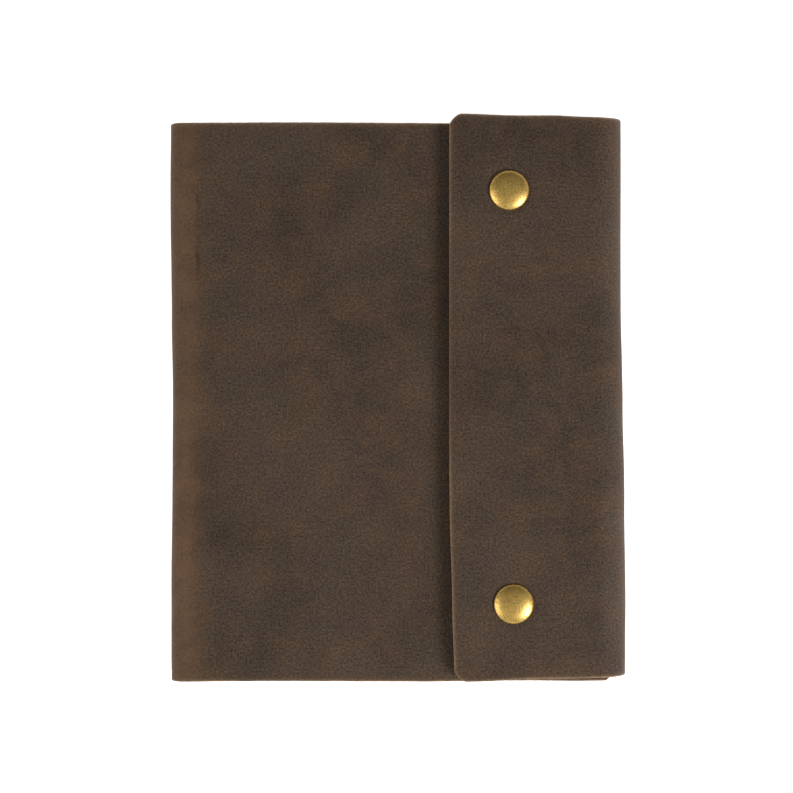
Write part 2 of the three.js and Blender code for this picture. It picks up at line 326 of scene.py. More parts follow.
def rawEdge():
    # the cut edge: packed fibres, tan where the knife went and darker where wax has soaked in
    material, tree, shader = newMaterial("rawEdge")
    place = objectPlace(tree)
    fibres = noiseOf(tree, place, 1700.0, 4.0, 0.75)
    soaked = rampOf(tree, noiseOf(tree, place, 170.0, 4.0, 0.65), 0.36, 0.62)
    color = mixOf(tree, soaked, edgeFinish["waxed"], edgeFinish["cut"])
    color = toneOf(tree, color, fibres, 0.3, 0.7, 0.60, 1.30)
    tree.links.new(color, shader.inputs["Base Color"])
    shader.inputs["Roughness"].default_value = 0.9
    shader.inputs["Specular IOR Level"].default_value = 0.2
    shader.inputs["Sheen Weight"].default_value = 0.2
    tree.links.new(bumpOf(tree, fibres, 0.8, 0.0004), shader.inputs["Normal"])
    return material


brassFinish = {"pit": (0.220, 0.130, 0.035), "bright": (0.820, 0.545, 0.155), "roughness": 0.33}


def antiqueBrass():
    # brass plating with a fine dark speckle left in its pits
    material, tree, shader = newMaterial("antiqueBrass")
    place = objectPlace(tree)
    speckle = noiseOf(tree, place, 2300.0, 4.0, 0.70)
    blotch = noiseOf(tree, place, 420.0, 4.0, 0.6)
    color = mixOf(tree, rampOf(tree, speckle, 0.36, 0.56), brassFinish["pit"], brassFinish["bright"])
    color = mixOf(tree, rampOf(tree, blotch, 0.40, 0.66, 0.0, 0.6), color, brassFinish["bright"])
    tree.links.new(color, shader.inputs["Base Color"])
    shader.inputs["Metallic"].default_value = 1.0
    even = brassFinish["roughness"]
    rough = rampOf(tree, speckle, 0.3, 0.7, even + 0.10, even - 0.04)
    tree.links.new(rough, shader.inputs["Roughness"])
    tree.links.new(bumpOf(tree, speckle, 0.30, 0.00010), shader.inputs["Normal"])
    return material


def nickelPlate():
    # bright plating over drawn steel: faint lines along the length and soft smears
    material, tree, shader = newMaterial("nickelPlate")
    place = objectPlace(tree)
    smear = noiseOf(tree, place, 160.0, 4.0, 0.6)
    along = addNode(tree, "ShaderNodeMapping", {"Vector": place, "Scale": (1.0, 0.04, 1.0)}).outputs[0]
    tree.links.new(mixOf(tree, smear, (0.60, 0.585, 0.56), (0.75, 0.74, 0.72)), shader.inputs["Base Color"])
    shader.inputs["Metallic"].default_value = 1.0
    tree.links.new(rampOf(tree, smear, 0.3, 0.7, 0.14, 0.26), shader.inputs["Roughness"])
    tree.links.new(bumpOf(tree, noiseOf(tree, along, 3000.0, 2.0), 0.05, 0.00005), shader.inputs["Normal"])
    return material


paperFinish = {"low": (0.760, 0.685, 0.545), "high": (0.785, 0.715, 0.580)}


def creamPaper():
    # uncoated book paper with a faint fleck
    material, tree, shader = newMaterial("creamPaper")
    place = objectPlace(tree)
    fleck = noiseOf(tree, place, 700.0, 5.0, 0.7)
    tone = rampOf(tree, noiseOf(tree, place, 35.0, 3.0), 0.3, 0.7)
    color = mixOf(tree, tone, paperFinish["low"], paperFinish["high"])
    color = toneOf(tree, color, fleck, 0.3, 0.7, 0.95, 1.03)
    tree.links.new(color, shader.inputs["Base Color"])
    shader.inputs["Roughness"].default_value = 0.85
    shader.inputs["Specular IOR Level"].default_value = 0.3
    tree.links.new(bumpOf(tree, fleck, 0.15, 0.0001), shader.inputs["Normal"])
    return material


grainSide, fleshSide, cutEdge = waxedLeather(), suedeLeather(), rawEdge()
brass, nickel, paper = antiqueBrass(), nickelPlate(), creamPaper()
print("finishes made")

leather = {
    "thickness": 2.2 * mm,
    "foldRadius": 4.4 * mm,       # to the middle of the hide, at the two spine folds
    "wrapRadius": 10.9 * mm,      # to the middle of the hide, round the fore edge
    "flapCorner": 4.5 * mm,
    "frontCorner": 2.4 * mm,
    "cornerPower": 1.45,          # 1 is a straight cut across the corner, 2 a round
    "edgeRound": 0.55 * mm,       # wear on the cut edge
    "heights": (-108, -79, -40, 0, 37, 76, 108),             # in mm, where the next two lines are given
    "spineLine": (0.23, 0.15, 0.30, 0.58, 0.08, -0.40, -0.12),    # how far the spine wanders from straight
    "foreLine": (0.55, 0.60, 0.08, -0.50, -1.20, -1.25, -1.22),   # and the fore edge
    "flapLine": (2.00, 1.10, 0.14, -0.63, -0.56, -0.12, 0.0),     # and how far in the flap was cut
    "footRise": (0.50, 0.10, 0.80, 1.15, 0.30),   # how much is cut off the foot, from end to end
    "swell": 0.16 * mm,           # how far the flats rise and fall
    "edgeWave": 0.22 * mm,        # how straight the knife went
    "capDent": 0.45 * mm,         # how far the snap caps press in
    "capReach": 7 * mm,           # the radius of the dent's flat bottom
    "rivetDent": 0.95 * mm,       # how far the rivet heads are sunk
    "rivetReach": 4.9 * mm,
    "creaseIn": 5 * mm,           # how far the painted crease shadow is from the spine's fold
    "creaseHeight": 64 * mm,      # and how high its middle is
    "step": 1.15 * mm,
}
half = leather["thickness"] / 2
frontLow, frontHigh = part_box("front_cover_panel")
backLow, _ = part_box("back_cover_panel")
spineLow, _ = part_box("spine_panel")
foreLow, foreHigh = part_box("fore_edge_strip_4")
flapLow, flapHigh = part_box("closure_flap")
backMiddle, frontMiddle, flapMiddle = backLow[2] + half, frontHigh[2] - half, flapHigh[2] - half
foldCentreX = spineLow[0] + half + leather["foldRadius"]
wrapCentreX = foreHigh[0] - half - leather["wrapRadius"]

# the strip's runs in order from the front cover's free edge: name, length of the middle line, turn
foldLength, wrapLength = leather["foldRadius"] * quarterTurn, leather["wrapRadius"] * quarterTurn
stripRuns = [
    ("front", frontHigh[0] - foldCentreX, 0),
    ("frontFold", foldLength, quarterTurn),
    ("spine", frontMiddle - backMiddle - 2 * leather["foldRadius"], 0),
    ("backFold", foldLength, quarterTurn),
    ("back", wrapCentreX - foldCentreX, 0),
    ("lowerWrap", wrapLength, quarterTurn),
    ("foreEdge", flapMiddle - backMiddle - 2 * leather["wrapRadius"], 0),
    ("upperWrap", wrapLength, quarterTurn),
    ("flap", wrapCentreX - flapLow[0], 0),
]
runStart = dict(zip([run[0] for run in stripRuns], np.cumsum([0] + [run[1] for run in stripRuns[:-1]])))
stripLength = sum(run[1] for run in stripRuns)
capCentres = [np.array(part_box(node)).mean(0) for node in ("upper_snap_cap", "lower_snap_cap")]
rivetCentres = [np.array(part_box(node)).mean(0) for node in ("top_rivet_post", "bottom_rivet_post")]


def stripPlace(s):
    # walks the middle line: each run is a chord turned by half of the angle walked so far;
    # gives x, z and the outward direction
    x, z = np.full_like(s, frontHigh[0]), np.full_like(s, frontMiddle)
    heading = np.full_like(s, math.pi)
    for name, length, turn in stripRuns:
        travel = np.clip(s - runStart[name], 0, length)
        angle = turn * travel / length
        chord = travel * np.sinc(angle / 2 / math.pi)
        x = x + chord * np.cos(heading + angle / 2)
        z = z + chord * np.sin(heading + angle / 2)
        heading = heading + angle
    return x, z, np.sin(heading), -np.cos(heading)


def cornerCut(distance, radius, power):
    # how far a corner draws the side in at a distance from the free edge, on a rounded diamond
    inside = np.clip(1 - distance / radius, 0, 1)
    return radius * (1 - (1 - inside**power) ** (1 / power))


def wander(y, values):
    # eases from each value to the next between the heights they are given for
    heights = np.array(leather["heights"]) * mm
    k = np.clip(np.searchsorted(heights, y) - 1, 0, len(heights) - 2)
    share = smoothStep(0, 1, (y - heights[k]) / (heights[k + 1] - heights[k]))
    steps = np.array(values) * mm
    return steps[k] + (steps[k + 1] - steps[k]) * share


def wornPale(s):
    # bell curves along the strip: the spine folds and the turn under the fore edge are rubbed most
    bells = [("frontFold", 1.5, 7.5, 0.52), ("backFold", 2.0, 5.0, 0.40),
             ("upperWrap", 1.0, 4.0, 0.16), ("lowerWrap", 10.0, 7.0, 0.40)]
    return sum(peak * np.exp(-(((s - runStart[run] - after * mm) / (width * mm)) ** 2))
               for run, after, width, peak in bells)


def stripStations(start, end, freeStart, freeEnd):
    # even steps on the flats, finer ones round the bends and close to a free edge,
    # and a last step so short that neighbouring pieces shade alike at their joint
    stops = [np.linspace(start, end, max(int((end - start) / leather["step"]), 6) + 1)]
    for name, length, turn in stripRuns:
        if turn:
            stops.append(np.linspace(runStart[name] - 2 * mm, runStart[name] + length + 2 * mm, 44))
    for free, edge, way in ((freeStart, start, 1), (freeEnd, end, -1)):
        if free:
            eased = 1 - np.cos(np.linspace(0, quarterTurn, 12))
            stops.append(edge + way * leather["flapCorner"] * eased)
            stops.append(edge + way * leather["edgeRound"] * eased[::2])
    s = np.unique(np.round(np.concatenate(stops), 6))
    inner = s[(s > start + 0.06 * mm) & (s < end - 0.06 * mm)]
    return np.concatenate([[start, start + 0.03 * mm], inner, [end - 0.03 * mm, end]])


def sectionLoop():
    # a closed loop across the strip: outside, rounded cut edge, inside, rounded cut edge.
    # gives the share of the width, the inset from the cut edge and the height through the hide
    width = foreHigh[1] - foreLow[1]
    margin = np.array([0, 0.35, 0.8]) * mm / width
    share = np.linspace(1.5 * mm / width, 1 - 1.5 * mm / width, int(width / leather["step"]))
    share = np.concatenate([margin, share, 1 - margin[::-1]])
    soft = leather["edgeRound"]
    bend = np.linspace(0, quarterTurn, 5)[1:]
    upper = 1 - soft / half * (1 - np.cos(bend))
    inset = soft * (1 - np.sin(bend))
    edgeHeight, edgeInset = np.concatenate([upper, -upper[::-1]]), np.concatenate([inset, inset[::-1]])
    flat = np.full(len(share), soft)
    return (np.concatenate([share, np.ones(8), share[::-1], np.zeros(8)]),
            np.concatenate([flat, edgeInset, flat, edgeInset]),
            np.concatenate([np.ones(len(share)), edgeHeight, -np.ones(len(share)), edgeHeight[::-1]]))


def presses(x, y, centres, radius, spread, depth):
    # a flat-bottomed dent round each centre, with a soft shoulder
    beyond = [np.maximum(np.hypot(x - c[0], y - c[1]) - radius, 0) for c in centres]
    return -depth * sum(np.exp(-((b / spread) ** 2)) for b in beyond)


def footToHead(across, through, side):
    # the section loop's points on one side of the hide, in order of height; the points round
    # the cut edges lie beyond 0 and 1 by how far they are from that side
    beyond = np.where(across == 1, 1, np.where(across == 0, -1, 0)) * (1 - np.abs(through))
    chosen = through * side > 0
    return np.argsort(np.where(chosen, across + beyond, np.inf))[: chosen.sum()]


def leatherPiece(name, start, end, freeStart=False, freeEnd=False):
    # the section loop carried along the middle line; a free end thins and draws its corners in
    s = stripStations(start, end, freeStart, freeEnd)
    across, inset, through = sectionLoop()
    toFree = 0 * s + np.minimum(s - start if freeStart else 1, end - s if freeEnd else 1)
    cornerSize = leather["flapCorner"] if freeEnd else leather["frontCorner"]
    corner = cornerCut(toFree, cornerSize, leather["cornerPower"])
    thin = (1 - cornerCut(toFree, leather["edgeRound"], 2) / half)[:, None]

    marks = [0, runStart["back"], runStart["lowerWrap"], runStart["flap"], stripLength]
    topMarks = [frontHigh[1], frontHigh[1], foreHigh[1], foreHigh[1], flapHigh[1]]
    bottomMarks = np.array([frontLow[1], frontLow[1], foreLow[1], foreLow[1], flapLow[1]])
    bottomMarks = bottomMarks + np.array(leather["footRise"]) * mm
    wave = leather["edgeWave"]
    top = np.interp(s, marks, topMarks) - corner + wave * softNoise(3, s, 0 * s, 17 * mm)
    bottom = np.interp(s, marks, bottomMarks) + corner + wave * softNoise(5, s, 0 * s, 19 * mm)
    top, bottom, s2 = top[:, None], bottom[:, None], np.repeat(s[:, None], len(across), 1)
    y = bottom + inset + across * (top - bottom - 2 * inset)
    atTop, atBottom = (across == 1)[None, :], (across == 0)[None, :]
    fray = 0.06 * mm * softNoise(6, s2, y + 40 * through * mm, 0.7 * mm)
    y = y + fray * atTop - fray * atBottom

    if freeEnd:
        lean = wander(y, leather["flapLine"])
        s2 = s2 - lean * np.clip((s2 - runStart["flap"]) / (stripLength - runStart["flap"]), 0, 1)
    x, z, outX, outZ = stripPlace(s2)

    onFloor = smoothStep(runStart["backFold"], runStart["back"], s2) * smoothStep(
        runStart["foreEdge"], runStart["lowerWrap"], s2)
    swell = leather["swell"] * softNoise(8, s2, y, 34 * mm) + 0.07 * mm * softNoise(9, s2, y, 9 * mm)
    offset = through * half * thin + swell * (1 - onFloor)
    outside = (through > 0)[None, :]
    if freeEnd:
        offset = offset + outside * (z > flapMiddle - half) * presses(
            x, y, capCentres, leather["capReach"], 1.5 * mm, leather["capDent"])
    if start < runStart["back"] <= end:
        offset = offset + outside * onFloor * presses(
            x, y, rivetCentres, leather["rivetReach"], 0.5 * mm, leather["rivetDent"])
    wrinkle = np.maximum(softNoise(11, s2 * 5, y, 6 * mm), 0) * np.exp(
        -(((s2 - runStart["foreEdge"]) / (15 * mm)) ** 2))
    offset = offset - 0.10 * mm * wrinkle * (through < 0)
    x = x + outX * offset
    x = x + wander(y, leather["spineLine"]) * smoothStep(foldCentreX + 20 * mm, spineLow[0], x)
    x = x + wander(y, leather["foreLine"]) * smoothStep(wrapCentreX - 30 * mm, foreHigh[0], x)
    z = z + outZ * offset
    points = np.stack([x, y, z], -1).reshape(-1, 3)

    rows, columns = len(s), len(across)
    following = np.roll(through, -1)
    grain, flesh = (through == 1) & (following == 1), (through == -1) & (following == -1)
    perColumn = np.where(grain, 0, np.where(flesh, 1, 2))
    quads, faceMaterial = [gridFaces(rows, columns, closed=True)], [np.tile(perColumn, rows - 1)]
    for row in (0, rows - 1):
        outer, inner = (footToHead(across, through, side) + row * columns for side in (1, -1))
        closing = np.stack([outer[:-1], outer[1:], inner[1:], inner[:-1]], -1)
        quads.append(closing if row == 0 else closing[:, ::-1])
        faceMaterial.append(np.full(len(closing), 2))
    flat = np.stack([s2, y + np.where(atTop, 1, -1) * (1 - through) * half * (atTop | atBottom)], -1)
    piece = buildMesh(name, points, np.concatenate(quads), [grainSide, fleshSide, cutEdge],
                      np.concatenate(faceMaterial), flat.reshape(-1, 2), sharpAngle=50)
    toEdge = np.minimum(np.clip(np.minimum(top - y, y - bottom), 0, 1), toFree[:, None])
    # the painted crease shadow's mask: a wavering line beside the spine's fold, fading out above and below
    # its middle height
    creaseLine = runStart["frontFold"] - leather["creaseIn"] + 1.3 * mm * softNoise(12, y, 0 * y, 15 * mm)
    beside = np.exp(-(((s2 - creaseLine) / (0.7 * mm)) ** 2))
    beside = beside * smoothStep(21 * mm, 9 * mm, np.abs(y - leather["creaseHeight"]))
    for field, values in (("rub", wornPale(s2) + 0.14 * np.exp(-toEdge / (2.0 * mm))),
                          ("fray", 0.95 * np.exp(-toEdge / (0.40 * mm))), ("creaseShade", beside)):
        layer = piece.data.attributes.new(field, "FLOAT", "POINT")
        layer.data.foreach_set("value", np.clip(values, 0, 1).astype(np.float32).ravel())
    return piece


spineMiddle = (runStart["spine"] + runStart["backFold"]) / 2
backCentre = (runStart["back"] + runStart["lowerWrap"]) / 2
foreMiddle = (runStart["foreEdge"] + runStart["upperWrap"]) / 2
lowerTurns = [runStart["lowerWrap"] + wrapLength * k / 4 for k in range(5)]
upperTurns = [runStart["upperWrap"] + wrapLength * k / 4 for k in range(5)]
# the strip's pieces in order: where it is cut, the two bodies each one joins, and where it bends
pieceNames = ["frontCoverLeather", "spineLeather", "backCoverLeather",
              *[f"foreEdgeLeather{k}" for k in range(1, 7)], "flapLeather"]
cutPlaces = [0, spineMiddle, backCentre, *lowerTurns[1:4], foreMiddle, *upperTurns[1:4], stripLength]
edgeBodies = ["back_cover", *[f"fore_edge_{k}" for k in range(1, 8)], "flap"]
joined = [("front_cover", "spine"), ("spine", "back_cover"), *zip(edgeBodies[:-1], edgeBodies[1:])]
bends = [(runStart["frontFold"], runStart["spine"]), (runStart["backFold"], runStart["back"]),
         *zip(lowerTurns[:-1], lowerTurns[1:]), *zip(upperTurns[:-1], upperTurns[1:])]
covered = [["front_cover_panel"], ["spine_panel"], ["back_cover_panel"],
           *[[f"fore_edge_strip_{k}"] for k in range(1, 6)],
           ["fore_edge_strip_6", "fore_edge_strip_7"], ["closure_flap"]]
for k, (name, (before, after), bend, nodes) in enumerate(zip(pieceNames, joined, bends, covered)):
    start, end = cutPlaces[k], cutPlaces[k + 1]
    piece = leatherPiece(name, start, end, freeStart=k == 0, freeEnd=end == stripLength)
    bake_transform(piece)
    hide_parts(*nodes)
    print(name, len(piece.data.polygons), "faces")


def turned(name, profile, centre, material, count=96, sharpAngle=35):
    # a lathe: the (radius, height) profile, both ends on the axis, carried round a vertical line
    radius, height = np.array(profile, float).T
    angle = np.linspace(0, 2 * math.pi, count, endpoint=False)
    ringX = centre[0] + radius[1:-1, None] * np.cos(angle)
    ringY = centre[1] + radius[1:-1, None] * np.sin(angle)
    rings = np.stack([ringX, ringY, np.repeat(height[1:-1, None], count, 1)], -1)
    poles = [(centre[0], centre[1], height[k]) for k in (0, -1)]
    return ringsMesh(name, rings, *poles, material, sharpAngle)


def roundCorner(radius, height, size, startAngle, endAngle, count=6):
    # points on a small arc about (radius, height), for softening a turned profile's corner
    angle = np.radians(np.linspace(startAngle, endAngle, count))
    return list(zip(radius + size * np.cos(angle), height + size * np.sin(angle)))


snap = {
    "capPower": 2.25,           # how flat the cap's top is before its shoulder
    "lipSize": 0.38 * mm,
    "stemRadius": 1.7 * mm,
    "throatRadius": 2.65 * mm,
    "bulbRadius": 2.35 * mm,
    "rimGrowth": 0.15 * mm,     # how far the rolled rim stands past the frame's cap
    "capLift": 0.55 * mm,       # from the bottom of the dent to the cap's widest line
}


def snapCap(which):
    # a superellipse dome, a lip curled under its rim, and the stem that passes through the flap
    low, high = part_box(which + "_snap_cap")
    centre, rim, lip = (np.array(low) + high) / 2, (high[0] - low[0]) / 2, snap["lipSize"]
    seat = flapHigh[2] - leather["capDent"] + snap["capLift"]
    edgeRadius, stem, foot = rim + snap["rimGrowth"] - lip, snap["stemRadius"], flapLow[2] - 0.2 * mm
    share = np.sin(np.linspace(0, quarterTurn, 34)[:-1])
    height = seat + (high[2] - seat) * (1 - share ** snap["capPower"]) ** 0.5
    dome = list(zip(edgeRadius * share + lip * share**6, height))
    curl = roundCorner(edgeRadius, seat - 0.1 * mm, lip, 10, -120, 9)
    under = [(edgeRadius - 0.8 * mm, seat - 0.1 * mm), (stem + 0.4 * mm, seat - 0.1 * mm),
             (stem, seat - 0.5 * mm), (stem, foot), (0, foot)]
    return turned(which + "SnapCap", dome + curl + under, centre, brass, 128)


def snapSocket(which):
    # the female half under the flap: a flange, a raised collar and the throat that grips the stud
    low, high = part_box(which + "_snap_socket")
    centre, rim, top = (np.array(low) + high) / 2, (high[0] - low[0]) / 2, flapLow[2] + 0.1 * mm
    face, floor, throat = low[2], high[2] - 0.35 * mm, snap["throatRadius"]
    profile = [(0, top), (rim - 0.3 * mm, top)]
    profile += roundCorner(rim - 0.3 * mm, top - 0.35 * mm, 0.3 * mm, 80, -80)
    profile += [(rim - 1.0 * mm, top - 0.6 * mm)]
    profile += roundCorner(throat + 1.0 * mm, face + 0.35 * mm, 0.35 * mm, 0, -90)
    profile += roundCorner(throat + 0.25 * mm, face + 0.25 * mm, 0.25 * mm, -90, -180)
    profile += [(throat + 0.25 * mm, floor), (0, floor)]
    return turned(which + "SnapSocket", profile, centre, brass)


def snapStud(which):
    # the male half on the front cover: a flange, a waist and a bulb with a dimple in its head
    low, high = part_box(which + "_snap_stud")
    centre, rim, top = (np.array(low) + high) / 2, (high[0] - low[0]) / 2, high[2]
    seat, bulb = frontHigh[2] - 0.1 * mm, snap["bulbRadius"]
    profile = [(0, seat), (rim - 0.25 * mm, seat)]
    profile += roundCorner(rim - 0.25 * mm, seat + 0.45 * mm, 0.25 * mm, -60, 90)
    profile += [(bulb + 0.9 * mm, seat + 0.75 * mm), (bulb + 0.1 * mm, seat + 0.95 * mm),
                (bulb - 0.3 * mm, seat + 1.3 * mm)]
    profile += roundCorner(bulb - 0.45 * mm, top - 0.45 * mm, 0.45 * mm, -30, 90, 8)
    profile += [(0.7 * mm, top), (0.4 * mm, top - 0.3 * mm), (0, top - 0.35 * mm)]
    return turned(which + "SnapStud", profile, centre, brass)


def snapPost(which):
    # the flat head inside the front cover, and the stem that the stud is set on
    low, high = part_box(which + "_snap_post")
    centre, rim, base = (np.array(low) + high) / 2, (high[0] - low[0]) / 2, low[2]
    seat = frontLow[2] + 0.1 * mm if frontLow[2] > base else base + 0.9 * mm
    profile = [(0, base), (rim * 0.6, base + 0.03 * mm)]
    profile += roundCorner(rim - 0.35 * mm, base + 0.38 * mm, 0.35 * mm, -90, 60)
    profile += [(rim - 0.4 * mm, seat), (1.2 * mm, seat), (1.2 * mm, frontHigh[2]), (0, frontHigh[2])]
    return turned(which + "SnapPost", profile, centre, brass)


for which in ("upper", "lower"):
    for part, make in (("cap", snapCap), ("socket", snapSocket), ("stud", snapStud), ("post", snapPost)):
        standFor(make(which), f"{which}_snap_{part}")
print("press studs made")

rings = {
    "wireRadius": 1.1 * mm,
    "ringRadius": 6.5 * mm,
    "legOffset": 3.75 * mm,     # from the middle of the mechanism to each leg
    "tipGap": 1.2,              # degrees from the top where the two tips meet
    "arcEnd": 230.0,            # degrees round to where each arc leaves the circle
    "tipRound": 0.35 * mm,
    "kneeDrop": 0.9 * mm,       # from the arc's end to where the leg is straight
    "kneePull": 0.55 * mm,      # how far the knee's curve keeps the arc's way
    "plateRise": 3.3 * mm,
    "plateThickness": 0.7 * mm,
    "slotWidth": 3.7 * mm,
    "slotLength": 3.2 * mm,
    "rivetStem": 1.7 * mm,
    "leverNeck": 3.4 * mm,      # half of the lever's width
    "leverPad": 1.3 * mm,       # and how much it grows at the thumb pad
    "leverHalf": 0.42 * mm,     # half of the lever's thickness
}
plateLow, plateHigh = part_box("ring_base_plate")
ringLow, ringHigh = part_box("spine_side_half_ring_1")
ringX, ringZ = (plateLow[0] + plateHigh[0]) / 2, ringHigh[2] - rings["wireRadius"] - rings["ringRadius"]
ringRows = [sum(corner[1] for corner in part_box(f"spine_side_half_ring_{k}")) / 2 for k in range(1, 7)]


def halfRing(name, y, side):
    # a wire swept along an arc from the tip and a short leg down into the mechanism;
    # each end is closed by a small round
    wire, reach, tipRound = rings["wireRadius"], rings["ringRadius"], rings["tipRound"]
    angle = np.radians(np.linspace(90 + rings["tipGap"], rings["arcEnd"], 44))
    arc = np.stack([reach * np.cos(angle), reach * np.sin(angle)], -1)
    knee = np.array([-rings["legOffset"], arc[-1, 1] - rings["kneeDrop"]])
    foot = np.array([-rings["legOffset"], ringLow[2] + 0.2 * mm - ringZ])
    t = np.linspace(0, 1, 8)[1:, None]
    tangentPoint = arc[-1] + rings["kneePull"] * np.array([-np.sin(angle[-1]), np.cos(angle[-1])])
    bend = (1 - t) ** 2 * arc[-1] + 2 * t * (1 - t) * tangentPoint + t**2 * knee
    leg = knee + np.linspace(0, 1, 6)[1:, None] * (foot - knee)
    path = np.concatenate([arc, bend, leg])
    way = np.gradient(path, axis=0)
    way /= np.linalg.norm(way, axis=1)[:, None]
    travel = np.concatenate([[0], np.cumsum(np.linalg.norm(np.diff(path, axis=0), axis=1))])
    extra = tipRound * (1 - np.cos(np.linspace(0, quarterTurn, 5)))
    stops = np.unique(np.concatenate([travel, extra, travel[-1] - extra]))[1:-1]
    px, pz = np.interp(stops, travel, path[:, 0]), np.interp(stops, travel, path[:, 1])
    wx, wz = np.interp(stops, travel, way[:, 0]), np.interp(stops, travel, way[:, 1])
    toEnd = np.minimum(stops, travel[-1] - stops)
    radius = wire - cornerCut(toEnd, tipRound, 2)
    around = np.linspace(0, 2 * math.pi, 20, endpoint=False)
    outward = radius[:, None] * np.cos(around)
    ringPoints = np.stack([
        ringX + side * (px[:, None] + wz[:, None] * outward),
        y + radius[:, None] * np.sin(around),
        ringZ + pz[:, None] - wx[:, None] * outward], -1)
    poles = [(ringX + side * path[k, 0], y, ringZ + path[k, 1]) for k in (0, -1)]
    return ringsMesh(name, ringPoints, *poles, nickel, sharpAngle=70)


ringSides = (("spine_side", 1, "spineSideHalfRing"), ("page_side", -1, "pageSideHalfRing"))
for body, side, pieceName in ringSides:
    for k, y in enumerate(ringRows, 1):
        standFor(halfRing(f"{pieceName}{k}", y, side), f"{body}_half_ring_{k}")


def ringPlate():
    # an arch carried along Y with windows left out for the ring legs, then given its thickness;
    # the height falls with the square of the distance from the middle
    halfWidth, rise = (plateHigh[0] - plateLow[0]) / 2, rings["plateRise"]
    leg, slotHalf = rings["legOffset"], rings["slotLength"] / 2
    slotIn, slotOut = leg - rings["slotWidth"] / 2, leg + rings["slotWidth"] / 2
    lines, counts = [-halfWidth, -slotOut, -slotIn, slotIn, slotOut, halfWidth], (5, 6, 7, 6, 5)
    u = np.unique(np.concatenate([np.linspace(*span) for span in zip(lines, lines[1:], counts)]))
    slotEnds = [[y - slotHalf, y + slotHalf] for y in ringRows]
    edges = np.sort(np.concatenate([[plateLow[1], plateHigh[1]], *slotEnds]))
    bands = [np.linspace(a, b, 9)[:-1] for a, b in zip(edges[:-1], edges[1:])]
    v = np.concatenate([*bands, [plateHigh[1]]])
    across, along = np.meshgrid(u, v, indexing="xy")
    height = plateHigh[2] - rise * (across / halfWidth) ** 2
    points = np.stack([ringX + across, along, height], -1).reshape(-1, 3)
    quads = gridFaces(len(v), len(u))
    middle = points[quads].mean(1)
    nearLeg = np.abs(np.abs(middle[:, 0] - ringX) - leg) < rings["slotWidth"] / 2
    inSlot = nearLeg & (np.abs(middle[:, 1][:, None] - np.array(ringRows)).min(1) < slotHalf)
    mesh = bpy.data.meshes.new("ringPlate")
    mesh.from_pydata(points.tolist(), [], quads[~inSlot].tolist())
    mesh.materials.append(nickel)
    mesh.polygons.foreach_set("use_smooth", np.ones(len(mesh.polygons), bool))
    mesh.update()
    piece = linked("ringPlate", mesh)
    wall = piece.modifiers.new("wall", "SOLIDIFY")
    wall.thickness, wall.offset = rings["plateThickness"], -1
    softened = piece.modifiers.new("softened", "BEVEL")
    softened.width, softened.segments, softened.limit_method = 0.16 * mm, 2, "ANGLE"
    softened.angle_limit = math.radians(50)
    return piece


def thumbLever(name, way, node):
    # a tongue whose side line curves up and out from under the plate, widening to a round thumb pad
    low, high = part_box(node)
    root, tip = (low[1], high[1]) if way > 0 else (high[1], low[1])
    t = np.linspace(0, 1, 40)
    y = root + (tip - root) * t
    z = low[2] + 0.45 * mm + (high[2] - low[2] - 1.0 * mm) * smoothStep(0.12, 1.0, t)
    halfWide = rings["leverNeck"] + rings["leverPad"] * smoothStep(0.35, 0.8, t)
    halfWide = halfWide * np.sqrt(np.clip(1 - np.clip((t - 0.72) / 0.281, 0, 1) ** 2, 0.0004, 1))
    thick = rings["leverHalf"] + 0.12 * mm * smoothStep(0.75, 1.0, t)
    around = np.linspace(0, 2 * math.pi, 40, endpoint=False)
    flat = np.sign(np.cos(around)) * np.abs(np.cos(around)) ** 0.35
    tall = np.sign(np.sin(around)) * np.abs(np.sin(around)) ** 0.8
    slope = np.gradient(z, y)[:, None]
    lift = thick[:, None] * tall
    rows = np.stack([
        ringX + halfWide[:, None] * flat,
        y[:, None] - slope / np.sqrt(1 + slope**2) * lift,
        z[:, None] + lift / np.sqrt(1 + slope**2)], -1)
    return ringsMesh(name, rows, (ringX, y[0], z[0]), (ringX, y[-1], z[-1]), nickel, sharpAngle=60)


standFor(ringPlate(), "ring_base_plate")
standFor(thumbLever("topThumbLever", 1, "top_lever"), "top_lever")
standFor(thumbLever("bottomThumbLever", -1, "bottom_lever"), "bottom_lever")


def rivetCap(which):
    # a low superellipse dome on a flat base
    low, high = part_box(which + "_rivet_cap")
    centre, rim, seat = (np.array(low) + high) / 2, (high[0] - low[0]) / 2, low[2] + 0.15 * mm
    share = np.sin(np.linspace(0, quarterTurn, 18)[:-1])
    dome = list(zip(rim * share, seat + (high[2] - seat) * (1 - share**2.4) ** 0.5))
    base = [(rim, low[2]), (rim * 0.5, low[2]), (0, low[2])]
    return turned(which + "RivetCap", dome + base, centre, nickel)


def rivetPost(which):
    # a flat head sunk in the back cover's outside, and the stem up to the cap
    low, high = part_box(which + "_rivet_post")
    centre, rim = (np.array(low) + high) / 2, (high[0] - low[0]) / 2
    stem, top = rings["rivetStem"], high[2] - 0.2 * mm
    head = [(0, low[2]), (rim - 0.3 * mm, low[2] + 0.02 * mm)]
    head += roundCorner(rim - 0.3 * mm, low[2] + 0.32 * mm, 0.3 * mm, -70, 70)
    shank = [(stem, low[2] + 0.75 * mm), (stem, top), (0, top)]
    return turned(which + "RivetPost", head + shank, centre, nickel)


for which in ("top", "bottom"):
    standFor(rivetCap(which), which + "_rivet_cap")
    standFor(rivetPost(which), which + "_rivet_post")
for node in ("spine_side_blade", "page_side_blade"):
    frame["nodes"][node].data.materials.clear()
    frame["nodes"][node].data.materials.append(nickel)
print("ring mechanism made")

